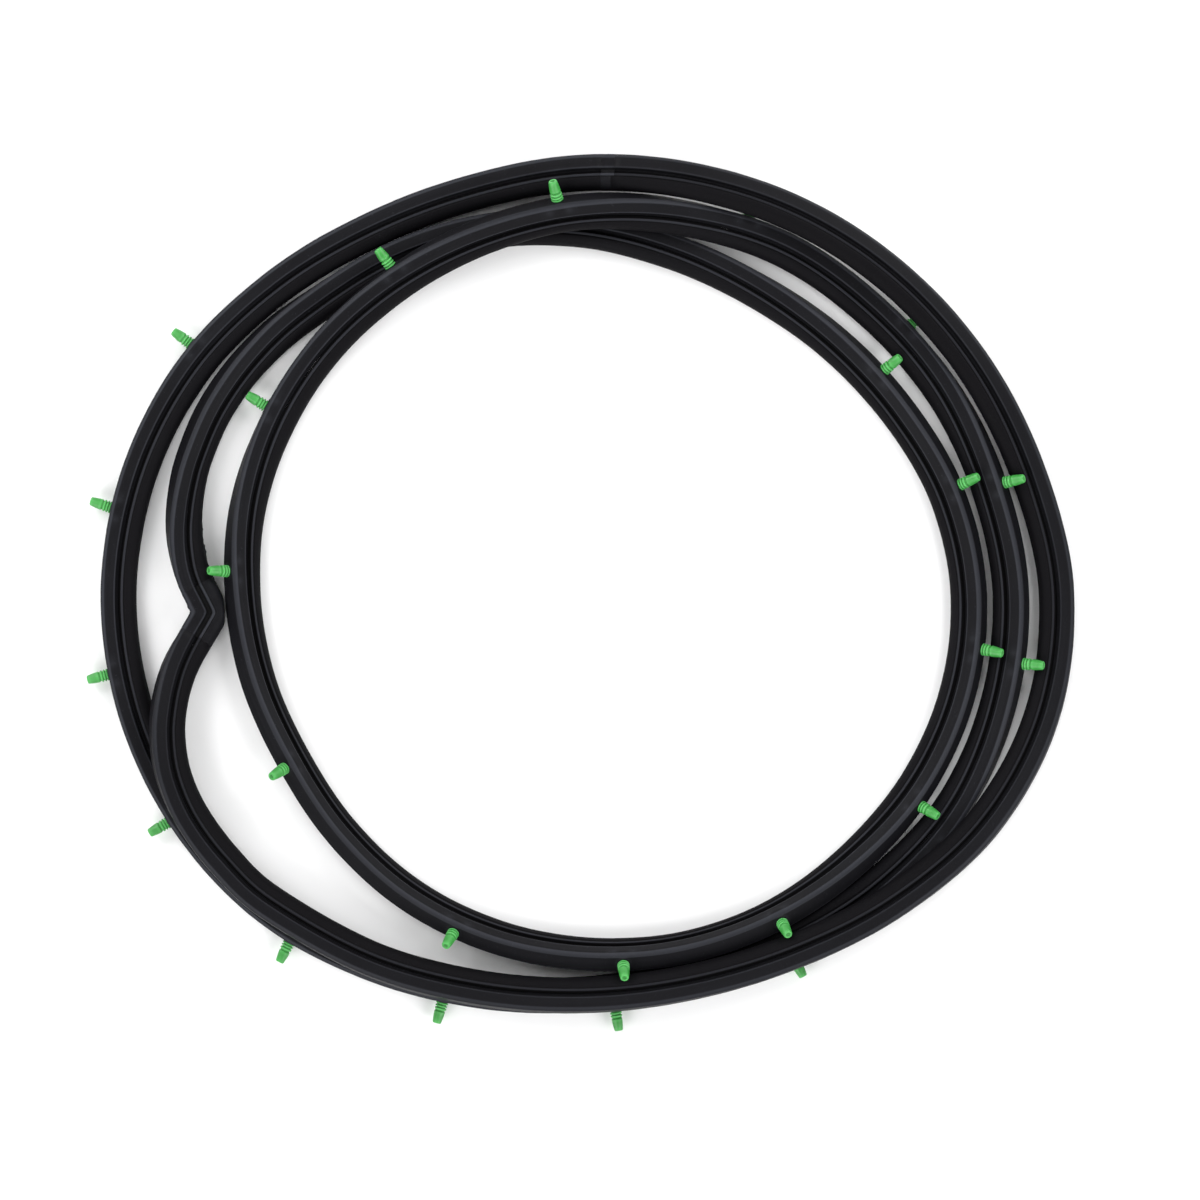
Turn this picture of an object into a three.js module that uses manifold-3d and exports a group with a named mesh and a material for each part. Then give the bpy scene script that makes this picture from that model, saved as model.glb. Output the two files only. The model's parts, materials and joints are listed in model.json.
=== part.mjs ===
// A closed loop of vehicle-door weatherstrip, lying on its side in three loose turns.
// Millimetres, +Z up. The strip has a dense-rubber base with a clip channel, whose foot faces out
// of the coil, and a round hollow sponge bulb, which faces into it. Push-in clips stand in the
// foot of the door run. One mitred corner and one butt splice, both moulded, close the loop.

import * as THREE from 'three';
import { mergeVertices } from 'three/addons/utils/BufferGeometryUtils.js';
import Module from 'manifold-3d';

const wasm = await Module();
wasm.setup();

// ---- Section of the strip: depth runs from the foot (0) to the crest of the bulb ----

const SEAL_DEPTH = 19.4;
const MID_DEPTH = SEAL_DEPTH / 2;
const BASE_HALF_WIDTH = 6.3;
const BASE_DEPTH = 8.0;
const FOOT_HALF_WIDTH = 4.9;
const FOOT_CHAMFER = 1.7;
const NECK_HALF_WIDTH = 3.6;
const BOND_DEPTH = 9.8;
const JOINT_GAP = 0.65;
const CHANNEL_START = 1.7;
const CHANNEL_END = 5.1;
const CHANNEL_HALF_WIDTH = 4.6;
const BULB_RADIUS = 6.2;
const BULB_CENTRE = SEAL_DEPTH - BULB_RADIUS;
const BULB_ANGLES = [116, 90, 45, 0, -45, -90, -116];
const HOLLOW_RADIUS = 4.4;
const HOLLOW_ANGLES = [-110, -60, 0, 60, 110];

// ---- How the strip lies ----

// Each row: bearing round the coil (degrees, falling as the strip goes clockwise), radius of the
// strip's middle, height of its underside above the floor, and roll (degrees, foot turned up).
const ROUTE = [
  [183, 204.2, 4.6, 0],
  [181, 208.0, 4.6, 0],
  [179, 212.0, 4.5, 1],
  [177, 215.5, 4.2, 5],
  [175, 218.1, 3.7, 10],
  [172.5, 220.8, 2.9, 16],
  [169.5, 223.1, 1.9, 22],
  [165.5, 225.0, 0.9, 28],
  [160.5, 226.1, 0.2, 32],
  [153, 225.7, 0, 31],
  [144.5, 222.5, 0, 24],
  [135, 217.0, 0, 12],
  [120, 210.9, 0, 0],
  [105, 206.0, 0, 0],
  [90, 199.8, 0, 0],
  [75, 194.0, 0, 0],
  [60, 191.9, 0, 8],
  [45, 194.2, 0, 20],
  [30, 199.4, 0, 27],
  [15, 207.0, 0, 27],
  [0, 211.8, 0, 26],
  [-15, 213.0, 0, 26],
  [-30, 211.4, 0, 28],
  [-45, 208.1, 0, 42],
  [-60, 205.6, 1.2, 57],
  [-75, 202.0, 2.8, 58],
  [-90, 197.8, 3, 55],
  [-105, 194.4, 1, 50],
  [-120, 190.8, 0, 48],
  [-135, 186.4, 0, 48],
  [-150, 183.3, 0, 48],
  [-165, 184.6, 0, 45],
  [-180, 186.8, 0, 38],
  [-195, 190.3, 0, 22],
  [-210, 192.8, 1, 6],
  [-225, 195.3, 6.5, 6],
  [-240, 197.8, 12.8, 14],
  [-255, 202.4, 13.2, 28],
  [-270, 208.0, 13.4, 32],
  [-285, 212.4, 11.2, 12],
  [-300, 218.6, 2.5, -2],
  [-315, 221.8, 0, 0],
  [-330, 226.6, 0, 10],
  [-345, 230.4, 0, 28],
  [-360, 235.0, 0, 25],
  [-375, 236.3, 0, 24],
  [-390, 235.0, 0, 10],
  [-405, 228.5, 0, 0],
  [-420, 222.0, 0, 0],
  [-435, 219.2, 0, 0],
  [-450, 221.2, 0, 0],
  [-465, 226.6, 0, 0],
  [-480, 235.0, 0, 0],
  [-495, 245.0, 0, 0],
  [-510, 251.2, 0, 0],
  [-525, 254.9, 0, 0],
  [-540, 255.9, 0, 0],
  [-555, 253.2, 0, 0],
  [-570, 247.4, 0, 0],
  [-585, 238.4, 0, 0],
  [-600, 231.0, 0, 0],
  [-615, 228.4, 3, 0],
  [-630, 230.0, 8.5, -8],
  [-645, 232.6, 14.4, -15],
  [-660, 237.2, 14.6, -17],
  [-675, 242.0, 11.6, -18],
  [-690, 247.6, 5.4, -12],
  [-705, 253.6, 0.6, -2],
  [-720, 260.8, 0, 4],
  [-735, 261.3, 3, 10],
  [-750, 253.2, 11.5, 10],
  [-765, 239.5, 13.2, 8],
  [-780, 227.6, 13.6, 8],
  [-795, 221.2, 13.8, 10],
  [-810, 220.4, 13.4, 12],
  [-825, 224.0, 13.2, 12],
  [-840, 231.8, 13.2, 10],
  [-855, 241.2, 13.2, 8],
  [-863, 245.2, 13.2, 8],
  [-870, 247.0, 13.2, 8],
  [-876, 245.6, 12.8, 13],
  [-881, 240.9, 11.4, 17],
  [-885, 234.6, 9.6, 18],
  [-888.5, 227.6, 7.3, 14],
  [-891, 221.2, 5.9, 8],
  [-893, 215.3, 5, 3],
  [-895, 209.7, 4.6, 0],
  [-897, 204.2, 4.6, 0],
];
const COIL_CENTRE = new THREE.Vector3(1.4, 0.6, 0);

const CORNER_BEARINGS = [179.3, -893.7];
const SPLICE_BEARING = -633.5;
const SPLICE_HALF_TURN = 0.6;
const SPLICE_LENGTH = 4.2;
const RING_SPACING = 30;
const LENGTH_DIVISIONS = 1500;
// The corner's bulb is pressed flat where it meets the strand inside it.
const CORNER_FLAT = { bearing: 182.6, radius: 198.2 };

// ---- Push-in clips ----

const CLIP_BEARINGS = [
  36.2, 15.7, -8.1, -32.2, -58.9, -83.7, -110.7, -149.5, -183.6, -210.6, -239.7, -266.5, -294,
  -320.9, -345.5, -369.2, -395.7, -419.9, -445.7, -469.3, -490.4, -511.2, -530.3, -550.1, -572.1,
];
const CLIP_SIDES = 10;
const CLIP_HOLE_SIDES = 8;
const CLIP_HOLE_RADIUS = 2.5;
const CLIP_HEAD = { length: 9, width: 7.8, thickness: 1.2, depth: 2.7 };
// Radius and height above the foot, from the head through the neck and three fins to the flat tip.
const CLIP_PROFILE = [
  [0, -3.2], [2.0, -3.2], [2.0, 0.4], [3.4, 0.5], [2.6, 1.5], [3.35, 2.0], [2.6, 3.0],
  [3.25, 3.5], [2.6, 4.5], [3.1, 5.1], [2.2, 12.3], [0, 12.3],
];

// ---- Materials ----

const baseRubber = { color: 0x1d1d21, roughness: 0.5, metalness: 0 };
const bulbSponge = { color: 0x151518, roughness: 0.8, metalness: 0 };
const mouldedRubber = { color: 0x18181b, roughness: 0.65, metalness: 0 };
const clipNylon = { color: 0x3fa648, roughness: 0.45, metalness: 0 };

// ---- Outlines, in depth from the middle of the strip and width across it ----

function outline(points) {
  return points.map(([depth, width]) => new THREE.Vector2(depth - MID_DEPTH, width));
}

// The points of the other side of the section, going back the other way.
function otherHalf(half) {
  return half.map(([depth, width]) => [depth, -width]).reverse();
}

// Points round the bulb's centre, at one radius.
function bulbArc(angles, radius) {
  return angles.map((degrees) => {
    const angle = THREE.MathUtils.degToRad(degrees);
    return [BULB_CENTRE + radius * Math.cos(angle), radius * Math.sin(angle)];
  });
}

const baseHalf = [
  [0, FOOT_HALF_WIDTH],
  [FOOT_CHAMFER, BASE_HALF_WIDTH],
  [BASE_DEPTH, BASE_HALF_WIDTH],
  [BASE_DEPTH, NECK_HALF_WIDTH],
];
const channelHalf = [[CHANNEL_START, CHANNEL_HALF_WIDTH], [CHANNEL_END, CHANNEL_HALF_WIDTH]];
const bulbRoot = BOND_DEPTH + JOINT_GAP;
const bulbSkin = bulbArc(BULB_ANGLES, BULB_RADIUS);

const baseOutline = outline([...baseHalf, [BOND_DEPTH, NECK_HALF_WIDTH], [BOND_DEPTH, 0],
  [BOND_DEPTH, -NECK_HALF_WIDTH], ...otherHalf(baseHalf)]);
const channelOutline = outline([...channelHalf, ...otherHalf(channelHalf)]).reverse();
const bulbOutline = outline([[bulbRoot, 0], [bulbRoot, NECK_HALF_WIDTH], ...bulbSkin,
  [bulbRoot, -NECK_HALF_WIDTH]]);
const hollowOutline = outline(bulbArc(HOLLOW_ANGLES, HOLLOW_RADIUS));
const wholeOutline = outline([...baseHalf, [bulbRoot, NECK_HALF_WIDTH], ...bulbSkin,
  [bulbRoot, -NECK_HALF_WIDTH], ...otherHalf(baseHalf)]);

function shapeOf(points, hole) {
  const shape = new THREE.Shape(points);
  if (hole) shape.holes.push(new THREE.Path(hole));
  return shape;
}

// ---- The line that the strip follows ----

function routePoint([bearing, radius, lift]) {
  const angle = THREE.MathUtils.degToRad(bearing);
  return new THREE.Vector3(radius * Math.cos(angle), radius * Math.sin(angle), lift);
}

const middleLine = new THREE.CatmullRomCurve3(ROUTE.map(routePoint), false, 'catmullrom', 0.5);
const rollLine = new THREE.CatmullRomCurve3(
  ROUTE.map(([, , , roll]) => new THREE.Vector3(THREE.MathUtils.degToRad(roll), 0, 0)),
  false, 'catmullrom', 0.5);

// Height of the strip's middle above its underside, at one roll.
function restHeight(roll) {
  const heights = wholeOutline.map((p) => p.x * Math.sin(roll) + Math.abs(p.y) * Math.cos(roll));
  return Math.max(...heights);
}

// Place along the whole route, 0 to 1, of a bearing.
function placeOf(bearing) {
  const next = Math.max(1, ROUTE.findIndex((row) => row[0] <= bearing));
  const before = ROUTE[next - 1][0];
  return (next - 1 + (before - bearing) / (before - ROUTE[next][0])) / (ROUTE.length - 1);
}

// A stretch of the route. Its frames point the section's depth into the coil, turned by the roll.
class Stretch extends THREE.Curve {
  constructor(startBearing, endBearing) {
    super();
    this.start = placeOf(startBearing);
    this.end = placeOf(endBearing);
    this.arcLengthDivisions = LENGTH_DIVISIONS;
  }

  getPoint(t, target = new THREE.Vector3()) {
    const place = THREE.MathUtils.lerp(this.start, this.end, t);
    middleLine.getPoint(place, target);
    const roll = rollLine.getPoint(place).x;
    target.z = Math.max(0, target.z) + restHeight(roll);
    return target.add(COIL_CENTRE);
  }

  frameAt(t) {
    const roll = rollLine.getPoint(THREE.MathUtils.lerp(this.start, this.end, t)).x;
    const tangent = this.getTangent(t);
    const inward = new THREE.Vector3(tangent.y, -tangent.x, 0).normalize();
    const depth = inward.applyAxisAngle(tangent, roll);
    const across = new THREE.Vector3().crossVectors(tangent, depth);
    return { origin: this.getPoint(t), tangent, depth, across };
  }

  computeFrenetFrames(segments) {
    const frames = { tangents: [], normals: [], binormals: [] };
    for (let i = 0; i <= segments; i += 1) {
      const frame = this.frameAt(this.getUtoTmapping(i / segments));
      frames.tangents.push(frame.tangent);
      frames.normals.push(frame.depth);
      frames.binormals.push(frame.across);
    }
    return frames;
  }
}

const doorRun = new Stretch(CORNER_BEARINGS[0], SPLICE_BEARING + SPLICE_HALF_TURN);
const windowRun = new Stretch(SPLICE_BEARING - SPLICE_HALF_TURN, CORNER_BEARINGS[1]);
const wholeRoute = new Stretch(ROUTE[0][0], ROUTE[ROUTE.length - 1][0]);

function frameAtBearing(bearing) {
  return wholeRoute.frameAt(placeOf(bearing));
}

function frameMatrix({ origin, tangent, depth, across }) {
  return new THREE.Matrix4().makeBasis(depth, across, tangent).setPosition(origin);
}

// ---- Solids ----

function toSolid(geometry) {
  const bare = geometry.clone();
  bare.deleteAttribute('normal');
  bare.deleteAttribute('uv');
  const merged = mergeVertices(bare, 1e-4);
  const triVerts = new Uint32Array(merged.index.array);
  const vertProperties = new Float32Array(merged.attributes.position.array);
  return new wasm.Manifold(new wasm.Mesh({ numProp: 3, vertProperties, triVerts }));
}

function toGeometry(solid) {
  const mesh = solid.getMesh();
  const geometry = new THREE.BufferGeometry();
  geometry.setAttribute('position', new THREE.BufferAttribute(mesh.vertProperties, 3));
  geometry.setIndex(new THREE.BufferAttribute(mesh.triVerts, 1));
  geometry.computeVertexNormals();
  return geometry;
}

function sweep(shape, run) {
  const steps = Math.round(run.getLength() / RING_SPACING);
  return new THREE.ExtrudeGeometry(shape, { steps, bevelEnabled: false, extrudePath: run });
}

function straightBlock(length) {
  return new THREE.ExtrudeGeometry(shapeOf(wholeOutline), { depth: length, bevelEnabled: false });
}

// The base, with a round hole through the foot into the channel for each clip's neck.
function baseGeometry(run, clipFrames) {
  let solid = toSolid(sweep(shapeOf(baseOutline, channelOutline), run));
  for (const frame of clipFrames) {
    const hole = new THREE.CylinderGeometry(CLIP_HOLE_RADIUS, CLIP_HOLE_RADIUS, 5, CLIP_HOLE_SIDES);
    hole.rotateZ(Math.PI / 2);
    hole.translate(-MID_DEPTH, 0, 0);
    hole.applyMatrix4(frameMatrix(frame));
    solid = solid.subtract(toSolid(hole));
  }
  return toGeometry(solid);
}

// One clip, along the depth axis: a turned neck, fins and barrel on a flat oblong head.
function clipGeometry() {
  const turned = new THREE.LatheGeometry(
    CLIP_PROFILE.map(([radius, height]) => new THREE.Vector2(radius, height)), CLIP_SIDES);
  turned.rotateZ(Math.PI / 2);
  turned.translate(-MID_DEPTH, 0, 0);
  const { length, width, thickness, depth } = CLIP_HEAD;
  const head = new THREE.BoxGeometry(thickness, width, length);
  head.translate(depth + thickness / 2 - MID_DEPTH, 0, 0);
  return toGeometry(toSolid(turned).add(toSolid(head)));
}

// Half of the corner: a straight arm from the end of a run, cut off along the mitre plane. It
// reaches a little past the plane, so that the two arms join.
function cornerArm(frame, toCorner, mitrePoint, mitreNormal) {
  const reach = 40;
  const lap = 0.05;
  const arm = straightBlock(reach);
  if (toCorner.dot(frame.tangent) < 0) arm.translate(0, 0, -reach - JOINT_GAP);
  else arm.translate(0, 0, JOINT_GAP);
  arm.applyMatrix4(frameMatrix(frame));
  const beyond = new THREE.BoxGeometry(2 * reach, 2 * reach, 2 * reach);
  beyond.translate(0, 0, reach + lap);
  const turn = new THREE.Quaternion().setFromUnitVectors(new THREE.Vector3(0, 0, 1), mitreNormal);
  beyond.applyQuaternion(turn);
  beyond.translate(mitrePoint.x, mitrePoint.y, mitrePoint.z);
  return toSolid(arm).subtract(toSolid(beyond));
}

function cornerGeometry() {
  const first = doorRun.frameAt(0);
  const last = windowRun.frameAt(1);
  const fromFirst = first.tangent.clone().negate();
  const fromLast = last.tangent.clone();
  const apart = last.origin.clone().sub(first.origin);
  const cross = (a, b) => a.x * b.y - a.y * b.x;
  const along = cross(apart, fromLast) / cross(fromFirst, fromLast);
  const mitrePoint = first.origin.clone().addScaledVector(fromFirst, along);
  const normal = fromFirst.clone().sub(fromLast).setZ(0).normalize();
  const upperArm = cornerArm(first, fromFirst, mitrePoint, normal);
  const lowerArm = cornerArm(last, fromLast, mitrePoint, normal.clone().negate());
  const reach = 40;
  const pressed = new THREE.BoxGeometry(reach, 2 * reach, 2 * reach);
  pressed.translate(CORNER_FLAT.radius - reach / 2, 0, 0);
  pressed.rotateZ(THREE.MathUtils.degToRad(CORNER_FLAT.bearing));
  pressed.translate(COIL_CENTRE.x, COIL_CENTRE.y, 0);
  return toGeometry(upperArm.add(lowerArm).subtract(toSolid(pressed)));
}

function spliceGeometry() {
  const block = straightBlock(SPLICE_LENGTH);
  block.translate(0, 0, -SPLICE_LENGTH / 2);
  return block.applyMatrix4(frameMatrix(frameAtBearing(SPLICE_BEARING)));
}

// ---- The assembly ----

const weatherstrip = new THREE.Group();

function addPart(name, geometry, material) {
  const mesh = new THREE.Mesh(geometry, new THREE.MeshStandardMaterial(material));
  mesh.name = name;
  weatherstrip.add(mesh);
  return mesh;
}

const clipFrames = CLIP_BEARINGS.map(frameAtBearing);

addPart('door_run_base', baseGeometry(doorRun, clipFrames), baseRubber);
addPart('door_run_bulb', sweep(shapeOf(bulbOutline, hollowOutline), doorRun), bulbSponge);
addPart('window_run_base', baseGeometry(windowRun, []), baseRubber);
addPart('window_run_bulb', sweep(shapeOf(bulbOutline, hollowOutline), windowRun), bulbSponge);
addPart('corner_moulding', cornerGeometry(), mouldedRubber);
addPart('splice_joint', spliceGeometry(), mouldedRubber);

const clip = clipGeometry();
clipFrames.forEach((frame, index) => {
  const number = String(index + 1).padStart(2, '0');
  const mesh = addPart(`clip_${number}`, clip, clipNylon);
  mesh.applyMatrix4(frameMatrix(frame));
});

export default weatherstrip;
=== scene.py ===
"""The looks of a coiled vehicle-door weatherstrip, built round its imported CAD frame.

The strip lies on its side in three loose turns. Its dense-rubber base faces out of the coil, with
push-in clips standing in its foot, and its round sponge bulb faces into the coil. All lengths are
in metres; the tables that give a shape in millimetres say so and are multiplied by MM.
"""

import json
import math

import bpy
import numpy as np
from bpy.props import FloatProperty, FloatVectorProperty, PointerProperty
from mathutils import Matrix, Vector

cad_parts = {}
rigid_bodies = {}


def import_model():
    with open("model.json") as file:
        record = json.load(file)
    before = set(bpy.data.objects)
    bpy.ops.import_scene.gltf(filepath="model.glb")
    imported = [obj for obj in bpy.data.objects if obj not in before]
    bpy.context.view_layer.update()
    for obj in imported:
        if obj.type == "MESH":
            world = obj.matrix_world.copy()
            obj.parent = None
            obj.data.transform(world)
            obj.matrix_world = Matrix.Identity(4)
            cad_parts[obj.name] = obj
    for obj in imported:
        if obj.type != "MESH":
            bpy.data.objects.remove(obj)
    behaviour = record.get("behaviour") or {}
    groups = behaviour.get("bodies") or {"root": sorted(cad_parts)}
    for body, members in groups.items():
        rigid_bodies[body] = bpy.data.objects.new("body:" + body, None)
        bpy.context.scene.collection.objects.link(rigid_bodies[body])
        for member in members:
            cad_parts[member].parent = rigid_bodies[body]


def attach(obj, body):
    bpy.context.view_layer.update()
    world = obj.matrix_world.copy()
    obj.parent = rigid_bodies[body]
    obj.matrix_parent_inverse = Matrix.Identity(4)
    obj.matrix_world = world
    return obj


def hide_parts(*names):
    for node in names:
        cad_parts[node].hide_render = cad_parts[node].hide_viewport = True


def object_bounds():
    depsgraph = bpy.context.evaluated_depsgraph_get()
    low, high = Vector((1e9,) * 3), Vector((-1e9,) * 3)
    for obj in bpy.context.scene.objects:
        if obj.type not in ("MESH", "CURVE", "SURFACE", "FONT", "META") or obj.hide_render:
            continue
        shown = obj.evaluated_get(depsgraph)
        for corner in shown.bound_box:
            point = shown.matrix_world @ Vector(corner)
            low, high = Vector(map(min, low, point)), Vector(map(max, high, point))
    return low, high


bl_info = {
    "name": "Door weatherstrip",
    "version": (1, 0, 0),
    "blender": (4, 5, 0),
    "location": "View3D > Sidebar > Weatherstrip",
    "description": "Builds a coiled rubber door seal with its push-in clips, corner and splice",
    "category": "Add Mesh",
}

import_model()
CAD_BOX = [list(corner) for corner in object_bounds()]

MM = 0.001
ROOT = "root"
STRIP_UV = "strip"

# ---- How the strip lies ----

# Each row: bearing round the coil (degrees, falling as the strip goes clockwise), radius of the
# strip's middle, height of its underside above the floor, and roll (degrees, foot turned up).
ROUTE = np.array([
    (183, 0.2042, 0.0046, 0),
    (181, 0.2080, 0.0046, 0),
    (179, 0.2120, 0.0045, 1),
    (177, 0.2155, 0.0042, 5),
    (175, 0.2181, 0.0037, 10),
    (172.5, 0.2208, 0.0029, 16),
    (169.5, 0.2231, 0.0019, 22),
    (165.5, 0.2250, 0.0009, 28),
    (160.5, 0.2261, 0.0002, 32),
    (153, 0.2257, 0, 31),
    (144.5, 0.2225, 0, 24),
    (135, 0.2170, 0, 12),
    (120, 0.2109, 0, 0),
    (105, 0.2060, 0, 0),
    (90, 0.1998, 0, 0),
    (75, 0.1940, 0, 0),
    (60, 0.1919, 0, 8),
    (45, 0.1942, 0, 20),
    (30, 0.1994, 0, 27),
    (15, 0.2070, 0, 27),
    (0, 0.2118, 0, 26),
    (-15, 0.2130, 0, 26),
    (-30, 0.2114, 0, 28),
    (-45, 0.2081, 0, 42),
    (-60, 0.2056, 0.0012, 57),
    (-75, 0.2020, 0.0028, 58),
    (-90, 0.1978, 0.0030, 55),
    (-105, 0.1944, 0.0010, 50),
    (-120, 0.1908, 0, 48),
    (-135, 0.1864, 0, 48),
    (-150, 0.1833, 0, 48),
    (-165, 0.1846, 0, 45),
    (-180, 0.1868, 0, 38),
    (-195, 0.1903, 0, 22),
    (-210, 0.1928, 0.0010, 6),
    (-225, 0.1953, 0.0065, 6),
    (-240, 0.1978, 0.0128, 14),
    (-255, 0.2024, 0.0132, 28),
    (-270, 0.2080, 0.0134, 32),
    (-285, 0.2124, 0.0112, 12),
    (-300, 0.2186, 0.0025, -2),
    (-315, 0.2218, 0, 0),
    (-330, 0.2266, 0, 10),
    (-345, 0.2304, 0, 28),
    (-360, 0.2350, 0, 25),
    (-375, 0.2363, 0, 24),
    (-390, 0.2350, 0, 10),
    (-405, 0.2285, 0, 0),
    (-420, 0.2220, 0, 0),
    (-435, 0.2192, 0, 0),
    (-450, 0.2212, 0, 0),
    (-465, 0.2266, 0, 0),
    (-480, 0.2350, 0, 0),
    (-495, 0.2450, 0, 0),
    (-510, 0.2512, 0, 0),
    (-525, 0.2549, 0, 0),
    (-540, 0.2559, 0, 0),
    (-555, 0.2532, 0, 0),
    (-570, 0.2474, 0, 0),
    (-585, 0.2384, 0, 0),
    (-600, 0.2310, 0, 0),
    (-615, 0.2284, 0.0030, 0),
    (-630, 0.2300, 0.0085, -8),
    (-645, 0.2326, 0.0144, -15),
    (-660, 0.2372, 0.0146, -17),
    (-675, 0.2420, 0.0116, -18),
    (-690, 0.2476, 0.0054, -12),
    (-705, 0.2536, 0.0006, -2),
    (-720, 0.2608, 0, 4),
    (-735, 0.2613, 0.0030, 10),
    (-750, 0.2532, 0.0115, 10),
    (-765, 0.2395, 0.0132, 8),
    (-780, 0.2276, 0.0136, 8),
    (-795, 0.2212, 0.0138, 10),
    (-810, 0.2204, 0.0134, 12),
    (-825, 0.2240, 0.0132, 12),
    (-840, 0.2318, 0.0132, 10),
    (-855, 0.2412, 0.0132, 8),
    (-863, 0.2452, 0.0132, 8),
    (-870, 0.2470, 0.0132, 8),
    (-876, 0.2456, 0.0128, 13),
    (-881, 0.2409, 0.0114, 17),
    (-885, 0.2346, 0.0096, 18),
    (-888.5, 0.2276, 0.0073, 14),
    (-891, 0.2212, 0.0059, 8),
    (-893, 0.2153, 0.0050, 3),
    (-895, 0.2097, 0.0046, 0),
    (-897, 0.2042, 0.0046, 0),
])
COIL_CENTRE = np.array([0.0014, 0.0006, 0.0])
DOOR_START = 179.3
WINDOW_END = -893.7
SPLICE_BEARING = -633.5
SPLICE_HALF_TURN = 0.6
MOULDING_LAP = 0.0013
# The corner's bulb is pressed flat where it meets the strand inside it: bearing and radius.
CORNER_FLAT = (182.6, 0.1977)

# Bearing of each clip, and how far it leans along the strip, in degrees.
CLIPS = [
    (36.2, 3), (15.7, -2), (-8.1, 4), (-32.2, -3), (-58.9, 2), (-83.7, -2), (-110.7, 3),
    (-149.5, -3), (-183.6, 1), (-210.6, 4), (-239.7, -2), (-266.5, -5), (-294, 2), (-320.9, 3),
    (-345.5, 6), (-369.2, -3), (-395.7, 2), (-419.9, -3), (-445.7, -2), (-469.3, 4),
    (-490.4, -5), (-511.2, 3), (-530.3, -4), (-550.1, 5), (-572.1, -3),
]

# ---- Sections, in millimetres ----

# Half of the base, from the middle of the foot to the middle of the bond: depth, half width,
# length rounded off the corner, and relief (1 on a ridge, where a highlight is painted, -1 in a
# groove, where shade is painted).
BASE_HALF = [
    (0.0, 0.0, 0.0, 0.0),
    (0.0, 4.1, 0.0, 0.0),
    (0.0, 4.9, 0.55, 0.6),
    (1.7, 6.3, 0.35, 1.0),
    (2.1, 6.3, 0.12, 0.1),
    (2.3, 6.0, 0.12, -0.8),
    (2.55, 6.3, 0.12, 0.0),
    (7.1, 6.3, 0.1, 0.0),
    (7.8, 6.3, 0.5, 0.7),
    (8.2, 5.3, 0.3, -0.6),
    (8.4, 4.2, 0.4, -1.0),
    (9.95, 3.9, 0.1, -1.0),
    (9.95, 0.0, 0.0, -1.0),
]
# Half of the bulb's root: the bond, the lip beside the groove, and the crease before the round.
BULB_ROOT_HALF = [
    (10.0, 0.0, 0.0, -1.0),
    (10.0, 4.0, 0.1, -1.0),
    (10.7, 4.2, 0.3, -1.0),
    (10.95, 5.6, 0.3, -0.4),
    (11.2, 6.15, 0.3, 0.9),
    (12.3, 6.15, 0.35, 0.9),
    (12.6, 5.5, 0.2, -1.0),
    (12.95, 5.95, 0.15, -0.3),
]
# The mouldings' groove is a little shallower than the runs', and their edges are softer.
MOULDED_HALF = [
    (0.0, 0.0, 0.0, 0.0),
    (0.0, 3.9, 0.0, 0.0),
    (0.0, 4.9, 0.8, 0.6),
    (1.7, 6.3, 0.4, 1.0),
    (2.1, 6.3, 0.12, 0.1),
    (2.3, 6.1, 0.12, -0.7),
    (2.55, 6.3, 0.12, 0.0),
    (7.1, 6.3, 0.1, 0.0),
    (7.8, 6.3, 0.6, 0.7),
    (8.3, 5.2, 0.4, -0.7),
    (8.6, 4.35, 0.5, -1.0),
    (10.5, 4.35, 0.5, -1.0),
    (10.95, 5.6, 0.35, -0.4),
    (11.2, 6.15, 0.4, 0.9),
    (12.3, 6.15, 0.4, 0.9),
    (12.6, 5.55, 0.3, -1.0),
    (12.95, 5.95, 0.2, -0.3),
]
# A clip from the underside of its head to the floor of the recess in its tip: height above the
# foot, radius, length rounded off the corner, and relief.
CLIP_PROFILE = [
    (-4.0, 0.0, 0.0, 0.0),
    (-4.0, 4.1, 0.35, 0.5),
    (-2.75, 4.1, 0.35, 0.5),
    (-2.75, 2.0, 0.2, -0.5),
    (0.3, 2.0, 0.1, -1.0),
    (0.45, 3.3, 0.15, 1.0),
    (1.15, 3.35, 0.22, 1.0),
    (1.35, 2.6, 0.15, -1.0),
    (1.9, 2.6, 0.15, -1.0),
    (2.05, 3.3, 0.15, 1.0),
    (2.75, 3.3, 0.22, 1.0),
    (2.95, 2.6, 0.15, -1.0),
    (3.5, 2.6, 0.15, -1.0),
    (3.65, 3.25, 0.15, 1.0),
    (4.45, 3.2, 0.25, 1.0),
    (4.75, 2.55, 0.2, -1.0),
    (5.3, 2.6, 0.3, -0.6),
    (5.8, 3.0, 0.4, 0.5),
    (8.6, 2.8, 1.2, 0.0),
    (12.0, 2.3, 0.3, 0.5),
    (12.3, 1.95, 0.15, 0.8),
    (12.3, 1.2, 0.12, 0.6),
    (11.6, 1.05, 0.12, -0.9),
    (11.6, 0.0, 0.0, -0.9),
]
# Sides of a clip's rings, points on a rounded corner, and the bulb's half round: the angle from
# its crest at which it starts, and its points.
CLIP_SIDES = 40
CORNER_STEPS = 4
BULB_START = 88
BULB_STEPS = 22

# Points along a run that measure its length.
LENGTH_STEPS = 12000
# How far a run reaches past its bearings, under the mouldings, in metres.
RUN_LAP = 0.0003
# The line worked out along each strip: its depth in the section, and the strip's thickness.
BASE_LINE = (0.0049, 0.0126)
BULB_LINE = (0.0146, 0.0124)
# Length of the ragged parting edge at the door run's start.
ROUGH_LENGTH = 0.048

# Painted shade: the colours painted at the bottom of the grooves, where shade falls, and how much
# of them shows there.
DENSE_PAINTED_SHADE = (0.002, 0.002, 0.003, 1)
SOFT_PAINTED_SHADE = (0.002, 0.002, 0.002, 1)
GROOVE_SHADE = 0.8
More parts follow.
